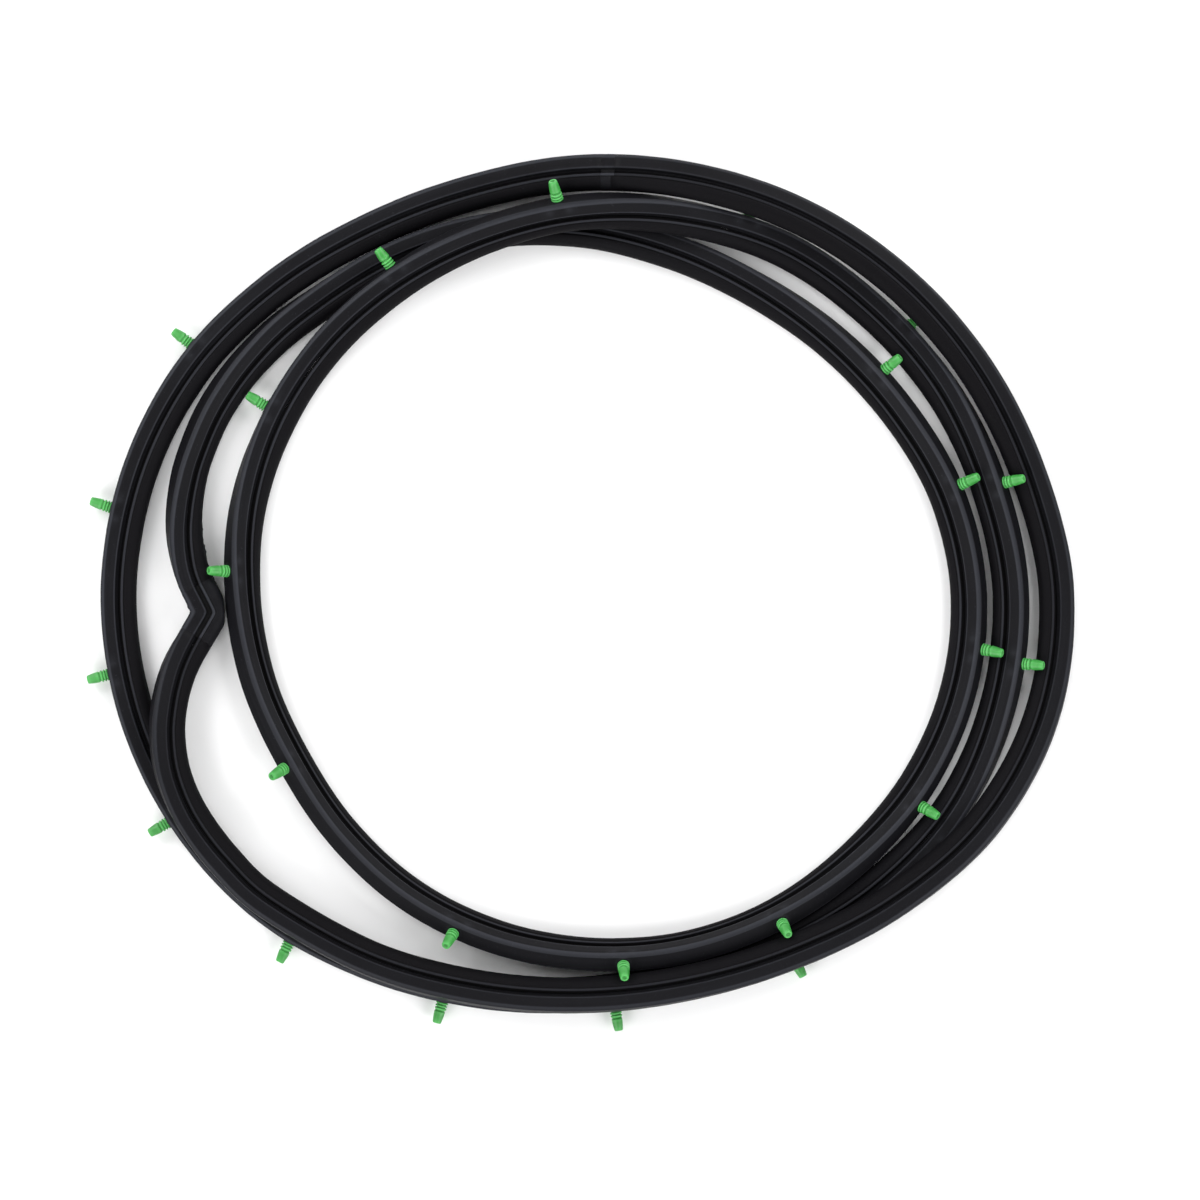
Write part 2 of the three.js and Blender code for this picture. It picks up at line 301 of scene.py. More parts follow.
# The clips' darker nylon, for their cloudy tone and as painted shade in their recesses, and their
# paler nylon, for scuffs and as a painted highlight on their thin edges.
DEEP_NYLON_AND_SHADE = (0.014, 0.17, 0.018, 1)
PALE_NYLON_AND_HIGHLIGHT = (0.13, 0.56, 0.15, 1)

FLOOR_REACH = 6.0
SIDE_BEARINGS = (50, 140, 230, 320)
# Tone of the room from the horizon up: place on the ramp, and colour.
SKY_STOPS = [(0.0, (1.0, 1.0, 1.0, 1)), (0.95, (0.10, 0.10, 0.11, 1))]
# How far the middle of the view stands from the middle of the coil's box, in metres.
VIEW_OFFSET = (0.0107, -0.0034)


# ---- Sizes and colours that a user would change ----

class StripSizes(bpy.types.PropertyGroup):
    """Driving sizes of the extruded strip."""

    seal_depth: FloatProperty(
        name="Seal depth", description="From the foot to the crest of the bulb",
        default=0.0194, unit="LENGTH")
    bulb_radius: FloatProperty(
        name="Bulb radius", description="Radius of the round sponge bulb",
        default=0.0062, unit="LENGTH")
    ring_spacing: FloatProperty(
        name="Ring spacing", description="Distance between the rings of the swept mesh",
        default=0.0055, unit="LENGTH")
    point_spacing: FloatProperty(
        name="Point spacing", description="Longest side of a face round the section",
        default=0.0009, unit="LENGTH")
    waviness: FloatProperty(
        name="Waviness", description="How far the rubber wanders from its true section",
        default=0.00008, unit="LENGTH")


class ClipSizes(bpy.types.PropertyGroup):
    """Driving sizes of the push-in clips and of the marks that they leave in the rubber."""

    head_length: FloatProperty(
        name="Head length", description="Length of the clip's head along the strip",
        default=0.0090, unit="LENGTH")
    head_width: FloatProperty(
        name="Head width", description="Width of the clip's head across the strip",
        default=0.0078, unit="LENGTH")
    swell: FloatProperty(
        name="Swell", description="How far a clip's head pushes out the base's flanks",
        default=0.00022, unit="LENGTH")
    collar: FloatProperty(
        name="Collar", description="Height of the rubber raised round a clip's neck",
        default=0.00035, unit="LENGTH")


class Finishes(bpy.types.PropertyGroup):
    """Colours of the rubber, the nylon and the floor."""

    base_rubber: FloatVectorProperty(
        name="Base rubber", description="Colour of the dense rubber", subtype="COLOR",
        default=(0.0041, 0.0040, 0.0053), min=0, max=1)
    bulb_sponge: FloatVectorProperty(
        name="Bulb sponge", description="Colour of the sponge bulb", subtype="COLOR",
        default=(0.0036, 0.0033, 0.0042), min=0, max=1)
    moulded_rubber: FloatVectorProperty(
        name="Moulded rubber", description="Colour of the corner and splice", subtype="COLOR",
        default=(0.0041, 0.0040, 0.0053), min=0, max=1)
    # Colour of the pale film, also painted on the rubber's ridges as a highlight.
    film_and_highlight: FloatVectorProperty(
        name="Bloom", description="Colour of the pale film on handled rubber", subtype="COLOR",
        default=(0.052, 0.055, 0.066), min=0, max=1)
    clip_nylon: FloatVectorProperty(
        name="Clip nylon", description="Colour of the clips", subtype="COLOR",
        default=(0.040, 0.285, 0.046), min=0, max=1)
    floor: FloatVectorProperty(
        name="Floor", description="Colour of the floor", subtype="COLOR",
        default=(0.94, 0.94, 0.94), min=0, max=1)


class StageSettings(bpy.types.PropertyGroup):
    """Camera and light."""

    view_width: FloatProperty(
        name="View width", description="Width of the view at the strip's height",
        default=0.66, unit="LENGTH")
    camera_height: FloatProperty(
        name="Camera height", description="Height of the camera above the floor",
        default=2.4, unit="LENGTH")
    side_light: FloatProperty(
        name="Side light", description="Power of each soft box at the sides",
        default=26.0, min=0, unit="POWER")
    top_light: FloatProperty(
        name="Top light", description="Power of the soft box overhead",
        default=8.0, min=0, unit="POWER")


# ---- The line that the strip follows ----

def catmull_rom(rows, place):
    """The smooth curve through the rows, at places counted in rows. Between two rows it is the
    cubic whose slope at each row is half the step from the row before to the row after. Each end
    has one more row, straight on."""
    first = 2 * rows[0] - rows[1]
    last = 2 * rows[-1] - rows[-2]
    padded = np.vstack([first, rows, last])
    row = np.clip(np.floor(place).astype(int), 0, len(rows) - 2)
    t = (place - row)[:, None]
    before, here, after, beyond = (padded[row + k] for k in range(4))
    leaving = 0.5 * (after - before)
    arriving = 0.5 * (beyond - here)
    square = 3 * (after - here) - 2 * leaving - arriving
    cube = 2 * (here - after) + leaving + arriving
    return here + leaving * t + square * t**2 + cube * t**3


def place_of(bearing):
    """The place along the route, counted in rows, of a bearing."""
    return np.interp(-np.asarray(bearing, float), -ROUTE[:, 0], np.arange(len(ROUTE)))


def unit(vectors):
    """Vectors divided by their lengths."""
    return vectors / np.linalg.norm(vectors, axis=-1, keepdims=True)


def rest_height(roll):
    """Height of the strip's middle above its underside at each roll: the greatest of
    depth times sine plus half width times cosine, over the corners of the CAD section."""
    sizes = bpy.context.scene.strip_sizes
    middle = sizes.seal_depth / 2
    turns = np.radians([116, 90, 45, 0])
    bulb_centre = sizes.seal_depth - sizes.bulb_radius
    bulb = np.stack([bulb_centre + sizes.bulb_radius * np.cos(turns),
                     sizes.bulb_radius * np.sin(turns)], -1)
    base = np.array([(0, 4.9), (1.7, 6.3), (8.0, 6.3)]) * MM
    corners = np.vstack([base, bulb])
    heights = np.outer(np.sin(roll), corners[:, 0] - middle) + np.outer(np.cos(roll), corners[:, 1])
    return heights.max(1)


def roll_at(place):
    """Roll in radians: the same smooth curve through the route's last column."""
    return catmull_rom(np.radians(ROUTE[:, 3:]), place)[:, 0]


def middle_at(place):
    """Middle of the strip: the curve through the route's rows, lifted by the height at which the
    rolled section rests."""
    turn = np.radians(ROUTE[:, 0])
    rows = np.stack([ROUTE[:, 1] * np.cos(turn), ROUTE[:, 1] * np.sin(turn), ROUTE[:, 2]], -1)
    middle = catmull_rom(rows, place)
    middle[:, 2] = np.maximum(middle[:, 2], 0) + rest_height(roll_at(place))
    return middle + COIL_CENTRE


def frames_at(place):
    """Middle, tangent, depth and across directions at each place. Depth is the level direction
    into the coil, turned about the tangent by the roll; across is tangent x depth."""
    place = np.atleast_1d(np.asarray(place, float))
    step = 1e-3
    tangent = unit(middle_at(place + step) - middle_at(place - step))
    level = np.stack([tangent[:, 1], -tangent[:, 0], np.zeros(len(place))], -1)
    inward = unit(level)
    roll = roll_at(place)[:, None]
    depth = inward * np.cos(roll) + np.cross(tangent, inward) * np.sin(roll)
    return middle_at(place), tangent, depth, np.cross(tangent, depth)


class Run:
    """A stretch of the strip between two bearings, with its own length scale."""

    def __init__(self, start, end, lap=0.0):
        fine = np.linspace(place_of(start), place_of(end), LENGTH_STEPS)
        points = middle_at(fine)
        steps = np.linalg.norm(np.diff(points, axis=0), axis=1)
        self.fine = fine
        self.along = np.concatenate([[0], np.cumsum(steps)])
        self.length = self.along[-1]
        self.lap = lap

    def place(self, along):
        """Place at each distance along the run; past an end it goes on at the same rate."""
        rate = (self.fine[-1] - self.fine[0]) / self.length
        inside = np.interp(along, self.along, self.fine)
        before = np.minimum(along, 0)
        after = np.maximum(along - self.length, 0)
        return inside + (before + after) * rate

    def distance(self, bearing):
        """Distance along the run at which a bearing is reached."""
        return np.interp(place_of(bearing), self.fine, self.along)

    def rings(self, spacing, zones=()):
        """Distances of the rings: even ones, and finer ones in each zone (start, end, step)."""
        low, high = -self.lap, self.length + self.lap
        even = np.linspace(low, high, int(round((high - low) / spacing)) + 1)
        fine = [np.arange(start, end, step) for start, end, step in zones]
        kept = np.clip(np.concatenate([even, *fine]), low, high)
        rings = np.unique(np.round(kept, 5))
        keep = np.concatenate([[True], np.diff(rings) > 0.0002])
        return rings[keep]


# ---- Sections ----

def rounded(corners):
    """An open outline with its corners rounded off. Each corner becomes a parabola that starts
    and ends the corner's rounding away along its two sides, at most 0.45 of a side."""
    points = np.array(corners, float)
    here, before, after = points[1:-1], points[:-2], points[2:]
    back = np.linalg.norm((before - here)[:, :2], axis=1)
    on = np.linalg.norm((after - here)[:, :2], axis=1)
    rounding = here[:, 2]
    start = here + (before - here) * np.minimum(rounding / back, 0.45)[:, None]
    end = here + (after - here) * np.minimum(rounding / on, 0.45)[:, None]
    t = np.linspace(0, 1, CORNER_STEPS)[None, :, None]
    arcs = (1 - t)**2 * start[:, None] + 2 * t * (1 - t) * here[:, None] + t**2 * end[:, None]
    arcs[..., 3] = here[:, None, 3]
    inner = arcs.reshape(-1, 4)
    return np.vstack([points[:1], inner, points[-1:]])[:, [0, 1, 3]]


def refined(outline, longest):
    """The same outline with more points, so that no step is much over the longest."""
    steps = np.linalg.norm(np.diff(outline[:, :2], axis=0), axis=1)
    along = np.concatenate([[0], np.cumsum(steps)])
    count = int(along[-1] / longest)
    at = np.unique(np.concatenate([along, np.linspace(0, along[-1], count)]))
    keep = np.concatenate([[True], np.diff(at) > 0.12 * longest])
    at = at[keep]
    return np.stack([np.interp(at, along, column) for column in outline.T], -1)


class Section:
    """A closed outline: depth, width and relief of each point, its outward direction, and its
    distance round the outline. It runs anticlockwise, seen against the strip's direction."""

    def __init__(self, half, longest):
        half = refined(half, longest)
        other = half * [1, -1, 1]
        points = np.vstack([other, half[-2:0:-1]])
        self.depth, self.width, self.relief = points.T
        ahead = np.roll(points, -1, 0)[:, :2]
        behind = np.roll(points, 1, 0)[:, :2]
        way = unit(ahead - behind)
        self.out = np.stack([way[:, 1], -way[:, 0]], -1)
        sides = np.linalg.norm(ahead - points[:, :2], axis=1)
        self.round = np.concatenate([[0], np.cumsum(sides)])


def bulb_round(sizes):
    """Half of the bulb's round, from its shoulder to its crest, as points of one circle."""
    turns = np.radians(np.linspace(BULB_START, 0, BULB_STEPS))
    centre = sizes.seal_depth - sizes.bulb_radius
    depth = centre + sizes.bulb_radius * np.cos(turns)
    width = sizes.bulb_radius * np.sin(turns)
    return np.stack([depth, width, np.zeros(BULB_STEPS)], -1)


def base_section(sizes):
    """The base's outline: its half rounded off, and mirrored."""
    half = rounded(BASE_HALF) * [MM, MM, 1]
    return Section(half, sizes.point_spacing)


def round_topped(half, sizes):
    """An outline that ends in the bulb's round: the half rounded off, the round, and both
    mirrored."""
    root = rounded(half) * [MM, MM, 1]
    return Section(np.vstack([root, bulb_round(sizes)]), sizes.point_spacing)


# ---- Unevenness ----

def wander(along, period, seed):
    """A smooth wander between about -1 and 1: the mean of six sines whose lengths lie round the
    period and whose phases are random, from one seed."""
    rng = np.random.default_rng(seed)
    waves = 2 * np.pi / (period * rng.uniform(0.5, 2.0, 6))
    phases = rng.uniform(0, 2 * np.pi, 6)
    return 1.8 * np.sin(np.asarray(along)[..., None] * waves + phases).mean(-1)


def ragged(along, step, seed):
    """A broken line between 0 and 1: random heights at even steps, joined by straight lines."""
    rng = np.random.default_rng(seed)
    span = np.asarray(along)
    knots = np.arange(span.min() - step, span.max() + 2 * step, step)
    return np.interp(span, knots, rng.random(len(knots))**2)


def bell(value, middle, width):
    """1 at the middle, falling off as exp(-x^2), with x the distance over the width."""
    return np.exp(-((value - middle) / width)**2)


# ---- Meshes ----

def placed(section, offset, frames):
    """Grid of points: each ring is the section, moved out by its offset and set in its frame."""
    middle, _, depth_way, across = frames
    half_depth = bpy.context.scene.strip_sizes.seal_depth / 2
    depth = section.depth + offset * section.out[:, 0] - half_depth
    width = section.width + offset * section.out[:, 1]
    return (middle[:, None] + depth[..., None] * depth_way[:, None]
            + width[..., None] * across[:, None])


def tube_mesh(name, grid, along, around, attributes):
    """A closed solid from a grid of rings: four-sided faces between the rings, and one face over
    each end. The UV map holds the distance along and the distance round, in metres."""
    count, sides = grid.shape[:2]
    index = np.arange(count * sides).reshape(count, sides)
    following = np.roll(index, -1, axis=1)
    quads = np.stack([index[:-1], following[:-1], following[1:], index[1:]], -1).reshape(-1, 4)
    faces = quads.tolist() + [index[0][::-1].tolist(), index[-1].tolist()]
    mesh = bpy.data.meshes.new(name)
    mesh.from_pydata(grid.reshape(-1, 3).tolist(), [], faces)
    mesh.shade_smooth()

    u = np.broadcast_to(np.stack([along[:-1], along[:-1], along[1:], along[1:]], -1)[:, None],
                        (count - 1, sides, 4))
    v = np.broadcast_to(np.stack([around[:-1], around[1:], around[1:], around[:-1]], -1)[None],
                        (count - 1, sides, 4))
    ends = np.zeros((2 * sides, 2))
    uv = np.vstack([np.stack([u, v], -1).reshape(-1, 2), ends])
    layer = mesh.uv_layers.new(name=STRIP_UV)
    layer.data.foreach_set("uv", uv.astype(np.float32).ravel())
    for key, values in attributes.items():
        attribute = mesh.attributes.new(key, "FLOAT", "POINT")
        full = np.broadcast_to(values, (count, sides))
        attribute.data.foreach_set("value", full.astype(np.float32).ravel())
    return mesh


def show(name, mesh, material, slot, *nodes):
    """Links a finished piece, which rides on the root body and stands for the CAD nodes."""
    mesh.materials.append(material)
    piece = bpy.data.objects.new(name, mesh)
    bpy.context.scene.collection.objects.link(piece)
    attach(piece, ROOT)
    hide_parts(*nodes)
    return piece


def on_floor(grid):
    """Rubber that would sink into the floor is flattened against it."""
    grid[..., 2] = np.maximum(grid[..., 2], 0)
    return grid


# ---- Materials ----

class Wire:
    """One output of a node. Operators on it add Math nodes."""

    def __init__(self, nodes, socket):
        self.nodes = nodes
        self.socket = socket

    def math(self, operation, first, second):
        settings = {"operation": operation}
        return self.nodes.add("ShaderNodeMath", settings, {0: first, 1: second})

    def __add__(self, other):
        return self.math("ADD", self, other)

    __radd__ = __add__

    def __sub__(self, other):
        return self.math("SUBTRACT", self, other)

    def __rsub__(self, other):
        return self.math("SUBTRACT", other, self)

    def __mul__(self, other):
        return self.math("MULTIPLY", self, other)

    __rmul__ = __mul__

    def above(self, level):
        return self.math("MAXIMUM", self, level)

    def below(self, level):
        return self.math("MINIMUM", self, level)

    def between(self, low, high):
        """0 at low and under, 1 at high and over, and even in between."""
        settings = {"clamp": True}
        sockets = {"Value": self, "From Min": low, "From Max": high}
        return self.nodes.add("ShaderNodeMapRange", settings, sockets)


class Nodes:
    """The nodes of a material or of the world."""

    def __init__(self, owner):
        owner.use_nodes = True
        self.tree = owner.node_tree
        self.tree.nodes.clear()

    def add(self, kind, settings=None, sockets=None, output=0):
        """Adds one node: its settings first, then the values or links of its inputs. It gives
        back one of the node's outputs, or nothing where the node has none."""
        node = self.tree.nodes.new(kind)
        for key, value in (settings or {}).items():
            if key == "stops":
                self.set_stops(node.color_ramp.elements, value)
            else:
                setattr(node, key, value)
        for key, value in (sockets or {}).items():
            if isinstance(value, Wire):
                self.tree.links.new(value.socket, node.inputs[key])
            else:
                node.inputs[key].default_value = value
        return Wire(self, node.outputs[output]) if node.outputs else None

    def set_stops(self, elements, stops):
        for element, (position, colour) in zip(elements, stops, strict=True):
            element.position = position
            element.color = colour


class Finish(Nodes):
    """A material under construction, ended by surface()."""

    def __init__(self, name):
        self.material = bpy.data.materials.new(name)
        super().__init__(self.material)

    def objects(self):
        """Object coordinates, in metres."""
        return self.add("ShaderNodeTexCoord", output="Object")

    def strip(self, along, around):
        """The strip's own map, with its distances along and round multiplied."""
        uv = self.add("ShaderNodeUVMap", {"uv_map": STRIP_UV})
        settings = {"operation": "MULTIPLY"}
        return self.add("ShaderNodeVectorMath", settings, {0: uv, 1: (along, around, 1.0)})

    def attribute(self, name):
        return self.add("ShaderNodeAttribute", {"attribute_name": name}, output="Fac")

    def ridge_and_groove(self):
        """How far each point is on a ridge, where a highlight is painted, and how far it is in a
        groove, where shade is painted, both from 0 to 1.
        """
        relief = self.attribute("relief")
        return relief.above(0.0), (0.0 - relief).above(0.0)

    def noise(self, vector, scale, detail=2.0, roughness=0.5):
        sockets = {"Vector": vector, "Scale": scale, "Detail": detail, "Roughness": roughness}
        return self.add("ShaderNodeTexNoise", None, sockets)

    def cells(self, vector, scale):
        """Distance to the nearest of many scattered points."""
        return self.add("ShaderNodeTexVoronoi", None, {"Vector": vector, "Scale": scale})

    def blend(self, factor, first, second):
        """A colour between two colours."""
        settings = {"data_type": "RGBA"}
        sockets = {"Factor": factor, 6: first, 7: second}
        return self.add("ShaderNodeMix", settings, sockets, output=2)

    def with_film_and_painted_light(self, rubber, shade_colour, groove, film_and_highlight):
        """The rubber's colour, with painted shade in its grooves, and paler under its film and
        under the painted highlight on its ridges.
        """
        shaded = self.blend(groove * GROOVE_SHADE, opaque(rubber), shade_colour)
        return self.blend(film_and_highlight, shaded, opaque(bpy.context.scene.finishes.film_and_highlight))

    def bump(self, height, distance):
        sockets = {"Height": height, "Distance": distance}
        return self.add("ShaderNodeBump", None, sockets)

    def surface(self, sockets):
        """Ends the material with one Principled shader."""
        shader = self.add("ShaderNodeBsdfPrincipled", None, sockets)
        self.add("ShaderNodeOutputMaterial", None, {"Surface": shader})
        return self.material


def opaque(colour):
    """A colour with full alpha."""
    return (*colour, 1.0)


def dense_rubber(name, tint):
    """Drawn dense rubber: fine lines along the strip, a pale film in drawn-out patches, a painted
    highlight on the ridges, painted shade in the grooves, dust, and stress marks beside the clips."""
    colours = bpy.context.scene.finishes
    finish = Finish(name)
    place = finish.objects()
    stress = finish.attribute("stress")
    ridge, groove = finish.ridge_and_groove()

    lines = finish.noise(finish.strip(18, 3200), 1.0, 3.0, 0.6)
    streaks = finish.noise(finish.strip(7, 420), 1.0, 3.0, 0.55)
    patches = finish.noise(place, 11.0, 4.0, 0.6)
    grain = finish.noise(place, 2400.0, 2.0, 0.6)
    dust = finish.noise(place, 900.0, 1.0).between(0.70, 0.78)

    film = patches.between(0.38, 0.75) * streaks.between(0.30, 0.8) * 0.11
    # Paler where the film, the dust and the stress marks lie, and on the ridges as a painted
    # highlight; darker in the grooves as painted shade.
    film_and_highlight = (film + ridge * 0.46 + stress * 0.14 + dust * 0.2).below(0.8) * tint
    colour = finish.with_film_and_painted_light(colours.base_rubber, DENSE_PAINTED_SHADE, groove, film_and_highlight)
    roughness = 0.44 + lines * 0.10 + patches * 0.12 + groove * 0.2 - ridge * 0.06
    height = lines * 0.5 + grain * 0.6
    return finish.surface({
        "Base Color": colour,
        "Roughness": roughness,
        "Normal": finish.bump(height, 0.00005),
        "Specular IOR Level": 0.10,
    })


def sponge_rubber(name, tint):
    """Sponge rubber: a matte skin with fine pores and small wrinkles across the strip, rubbed
    paler in patches along it."""
    colours = bpy.context.scene.finishes
    finish = Finish(name)
    place = finish.objects()
    rough_edge = finish.attribute("rough_edge")
    ridge, groove = finish.ridge_and_groove()

    pores = finish.cells(place, 2600.0)
    skin = finish.noise(place, 1300.0, 3.0, 0.65)
    wrinkles = finish.noise(finish.strip(260, 45), 1.0, 2.0, 0.5)
    rubbed = finish.noise(finish.strip(5, 130), 1.0, 4.0, 0.55)
    patches = finish.noise(place, 8.0, 4.0, 0.6)
    dust = finish.noise(place, 1000.0, 1.0).between(0.72, 0.80)

    film = rubbed.between(0.40, 0.85) * patches.between(0.35, 0.7) * 0.09
    # Paler where the rubbed film, the dust and the ragged edge lie, and on the ridges as a painted
    # highlight; darker in the grooves as painted shade.
    film_and_highlight = (film + ridge * 0.36 + dust * 0.15 + rough_edge * 0.8).below(0.8) * tint
    colour = finish.with_film_and_painted_light(colours.bulb_sponge, SOFT_PAINTED_SHADE, groove, film_and_highlight)
    roughness = 0.52 + skin * 0.14 + patches * 0.10 + groove * 0.15
    height = pores * 0.5 + skin * 0.6 + wrinkles * 0.8
    return finish.surface({
        "Base Color": colour,
        "Roughness": roughness,
        "Normal": finish.bump(height, 0.00007),
        "Specular IOR Level": 0.06,
    })


def moulded_rubber(name):
    """Press-moulded rubber: the grain of the mould's face, flow marks and a satin skin."""
    colours = bpy.context.scene.finishes
    finish = Finish(name)
    place = finish.objects()
    ridge, groove = finish.ridge_and_groove()

    grain = finish.noise(place, 1700.0, 3.0, 0.7)
    flow = finish.noise(place, 160.0, 4.0, 0.6)
    patches = finish.noise(place, 60.0, 3.0, 0.6)
    dust = finish.noise(place, 900.0, 1.0).between(0.70, 0.78)

    film = patches.between(0.45, 0.8) * 0.10
    # Paler where the film and the dust lie, and on the ridges as a painted highlight; darker in the
    # grooves as painted shade.
    film_and_highlight = (film + ridge * 0.46 + dust * 0.15).below(0.8)
    colour = finish.with_film_and_painted_light(colours.moulded_rubber, SOFT_PAINTED_SHADE, groove, film_and_highlight)
    roughness = 0.46 + grain * 0.12 + flow * 0.14
    height = grain * 0.7 + flow * 0.9
    return finish.surface({
        "Base Color": colour,
        "Roughness": roughness,
        "Normal": finish.bump(height, 0.00009),
        "Specular IOR Level": 0.09,
    })


def clip_nylon(name):
    """Green nylon that lets a little light in: cloudy flow marks, a painted highlight on the thin
    edges, painted shade in the recesses, scuffs and a faint mould grain."""
    colours = bpy.context.scene.finishes
    finish = Finish(name)
    place = finish.objects()
    ridge, groove = finish.ridge_and_groove()

    cloud = finish.noise(place, 420.0, 3.0, 0.6)
    flow = finish.noise(finish.strip(900, 250), 1.0, 2.0, 0.5)
    grain = finish.noise(place, 3500.0, 2.0, 0.5)
    scuffs = finish.noise(finish.strip(120, 2600), 1.0, 2.0, 0.6).between(0.62, 0.75)

    green = opaque(colours.clip_nylon)
    body = finish.blend(cloud.between(0.35, 0.75) * 0.45, green, DEEP_NYLON_AND_SHADE)
    # Painted shade: the recesses are darkened towards the deep nylon.
    shaded = finish.blend(groove * 0.5, body, DEEP_NYLON_AND_SHADE)
    # Painted highlight: the thin edges are paled towards the pale nylon, which also colours the
    # scuffs.
    colour = finish.blend((ridge * 0.45 + scuffs * 0.2).below(1.0), shaded, PALE_NYLON_AND_HIGHLIGHT)
    return finish.surface({
        "Base Color": colour,
        "Roughness": 0.36 + flow * 0.12 + scuffs * 0.15,
        "Normal": finish.bump(flow * 0.6 + grain * 0.4, 0.00006),
        "Subsurface Weight": 0.18,
        "Subsurface Radius": (0.4, 1.0, 0.4),
        "Subsurface Scale": 0.0015,
        "Specular IOR Level": 0.5,
    })


def floor_paint(name):
    """A plain pale floor with a barely uneven tone."""
    colours = bpy.context.scene.finishes
    finish = Finish(name)
    tone = finish.noise(finish.objects(), 3.0, 3.0, 0.5)
    darker = tuple(0.97 * channel for channel in colours.floor)
    colour = finish.blend(tone, opaque(colours.floor), opaque(darker))
    return finish.surface({"Base Color": colour, "Roughness": 0.85, "Specular IOR Level": 0.2})


# ---- The pieces ----

def door_run():
    """The clipped run, from the corner's upper arm to the splice."""
    return Run(DOOR_START, SPLICE_BEARING + SPLICE_HALF_TURN, lap=RUN_LAP)


def window_run():
    """The run without clips, from the splice to the corner's lower arm."""
    return Run(SPLICE_BEARING - SPLICE_HALF_TURN, WINDOW_END, lap=RUN_LAP)


def declare_strip(run, line):
    """Works out the line along a run at one depth of its section; the line is not passed on or
    used.
    """
    centre_depth, thickness = line
    sizes = bpy.context.scene.strip_sizes
    along = run.rings(sizes.ring_spacing)
    middle, _, depth_way, _ = frames_at(run.place(along))
    path = middle + depth_way * (centre_depth - sizes.seal_depth / 2)


def build_base(name, run, clip_bearings, material, node):
    """One run of the base. Round each clip its flanks swell over the clip's head and dip at the
    head's ends, and its foot rises in a collar: bells of the distance from the clip."""
    sizes = bpy.context.scene.strip_sizes
    clips = bpy.context.scene.clip_sizes
    section = base_section(sizes)
    clip_at = np.array([run.distance(bearing) for bearing in clip_bearings])
    reach, fine_spacing = 0.0075, 0.00075
    zones = [(at - reach, at + reach, fine_spacing) for at in clip_at]
    along = run.rings(sizes.ring_spacing, zones)
    offset = sizes.waviness * (wander(along, 0.09, 3)[:, None] * np.sign(section.width)
                               + wander(along, 0.03, 5)[:, None]) * 0.6
    stress = np.zeros((len(along), len(section.depth)))
    if len(clip_at):
        away = np.abs(along[:, None] - clip_at).min(1)[:, None]
        flank = bell(section.depth, 0.0034, 0.0022) * (np.abs(section.width) > 0.0058)
        swell = np.exp(-(away / 0.0040)**4) - 0.8 * bell(away, 0.0058, 0.0012)
        foot = (section.depth < 0.0003) * (np.abs(section.width) < 0.0047)
        collar = bell(np.hypot(away, section.width), 0.0038, 0.0006) * foot
        offset = offset + clips.swell * swell * flank + clips.collar * collar
        stress = flank * bell(away, 0.0054, 0.0022) + 0.6 * collar
    grid = on_floor(placed(section, offset, frames_at(run.place(along))))
    attributes = {"relief": section.relief, "stress": stress}
    mesh = tube_mesh(name, grid, along, section.round, attributes)
    piece = show(name, mesh, material, "base_rubber", node)
    declare_strip(run, BASE_LINE)
    return piece


def build_bulb(name, run, rough_length, seed, material, node):
    """One run of the bulb. Its round wanders a little along the strip, and over the rough length
    at its start a ragged parting edge stands along its crest."""
    sizes = bpy.context.scene.strip_sizes
    section = round_topped(BULB_ROOT_HALF, sizes)
    fine_spacing = 0.0006
    zones = [(0.0, rough_length, fine_spacing)] if rough_length else []
    along = run.rings(sizes.ring_spacing, zones)
    round_part = (section.depth > 0.0125)
    offset = sizes.waviness * wander(along, 0.05, seed)[:, None] * round_part
    rough = np.zeros((len(along), len(section.depth)))
    if rough_length:
        fade = np.clip((rough_length - along) / 0.008, 0, 1) * np.clip(along / 0.002, 0, 1)
        edge = bell(section.width, 0.0, 0.0009) * (section.depth > 0.0150)
        rough = (fade * (0.15 + ragged(along, 0.0013, seed)))[:, None] * edge
        edge_height = 0.00075
        offset = offset + edge_height * rough
    grid = on_floor(placed(section, offset, frames_at(run.place(along))))
    attributes = {"relief": section.relief, "rough_edge": rough}
    mesh = tube_mesh(name, grid, along, section.round, attributes)
    piece = show(name, mesh, material, "bulb_sponge", node)
    declare_strip(run, BULB_LINE)
    return piece


def mitre_path(section, swell):
    """Where each point of the section meets the mitre plane, and its place at either run's end.
    The plane stands upright through the point where the two arms' middle lines cross in plan,
    square to the difference of their directions."""
    offset = np.full((1, len(section.depth)), swell)
    last = frames_at(place_of(WINDOW_END))
    first = frames_at(place_of(DOOR_START))
    to_corner_last = last[1][0]
    to_corner_first = -first[1][0]
    apart = last[0][0] - first[0][0]
    along = (np.cross(apart[:2], to_corner_last[:2])
             / np.cross(to_corner_first[:2], to_corner_last[:2]))
    mitre = first[0][0] + to_corner_first * along
    normal = unit((to_corner_first - to_corner_last) * [1, 1, 0])
    start = placed(section, offset, last)[0]
    end = placed(section, offset, first)[0]
    start_reach = ((mitre - start) @ normal) / (to_corner_last @ normal)
    end_reach = ((mitre - end) @ normal) / (to_corner_first @ normal)
    meeting = 0.5 * (start + start_reach[:, None] * to_corner_last
                     + end + end_reach[:, None] * to_corner_first)
    return start, meeting, end


def pressed_flat(grid):
    """Moves points that lie beyond a plane back to it, through a short rounded bend: with x the
    distance short of the plane, it becomes (x + sqrt(x^2 + e^2)) / 2."""
    turn = math.radians(CORNER_FLAT[0])
    outward = np.array([math.cos(turn), math.sin(turn), 0.0])
    short = (grid - COIL_CENTRE) @ outward - CORNER_FLAT[1]
    bend = 0.0006
    moved = (short + np.sqrt(short**2 + bend**2)) / 2
    return grid + (moved - short)[..., None] * outward


